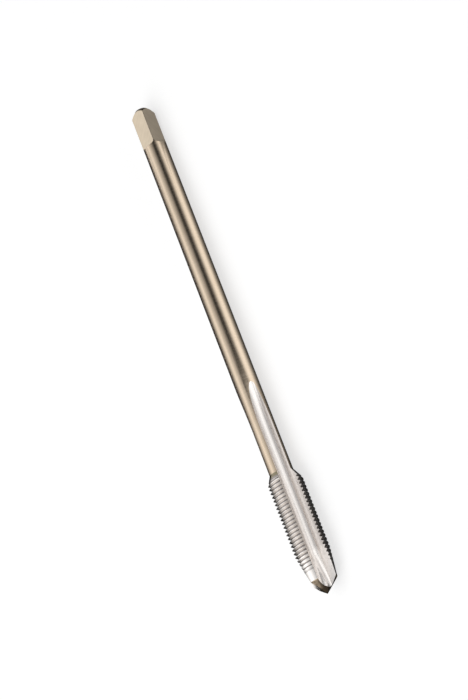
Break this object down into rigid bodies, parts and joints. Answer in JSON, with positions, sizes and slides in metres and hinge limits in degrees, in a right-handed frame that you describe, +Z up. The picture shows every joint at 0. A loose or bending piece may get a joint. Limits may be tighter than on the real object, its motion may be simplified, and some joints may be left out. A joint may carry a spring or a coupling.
{
  "type": "thread tap",
  "caption": "Spiral-point machine tap: round shank with a square drive end, three straight flutes, fine right-hand thread and a pointed tip.",
  "frame": {"origin": "on the surface that the tap lies on, below the middle of its length", "axes": "+X along the tap towards its drive end, +Z up, as the tap comes to rest on two of its lands and its shank"},
  "size_m": [0.07, 0.0044, 0.0042],
  "materials": {
    "tap_steel": "ground and polished high-speed steel with a light bronze tint on the shank"
  },
  "bodies": {
    "root": {"thread_tap": "tap_steel"}
  },
  "joints": []
}
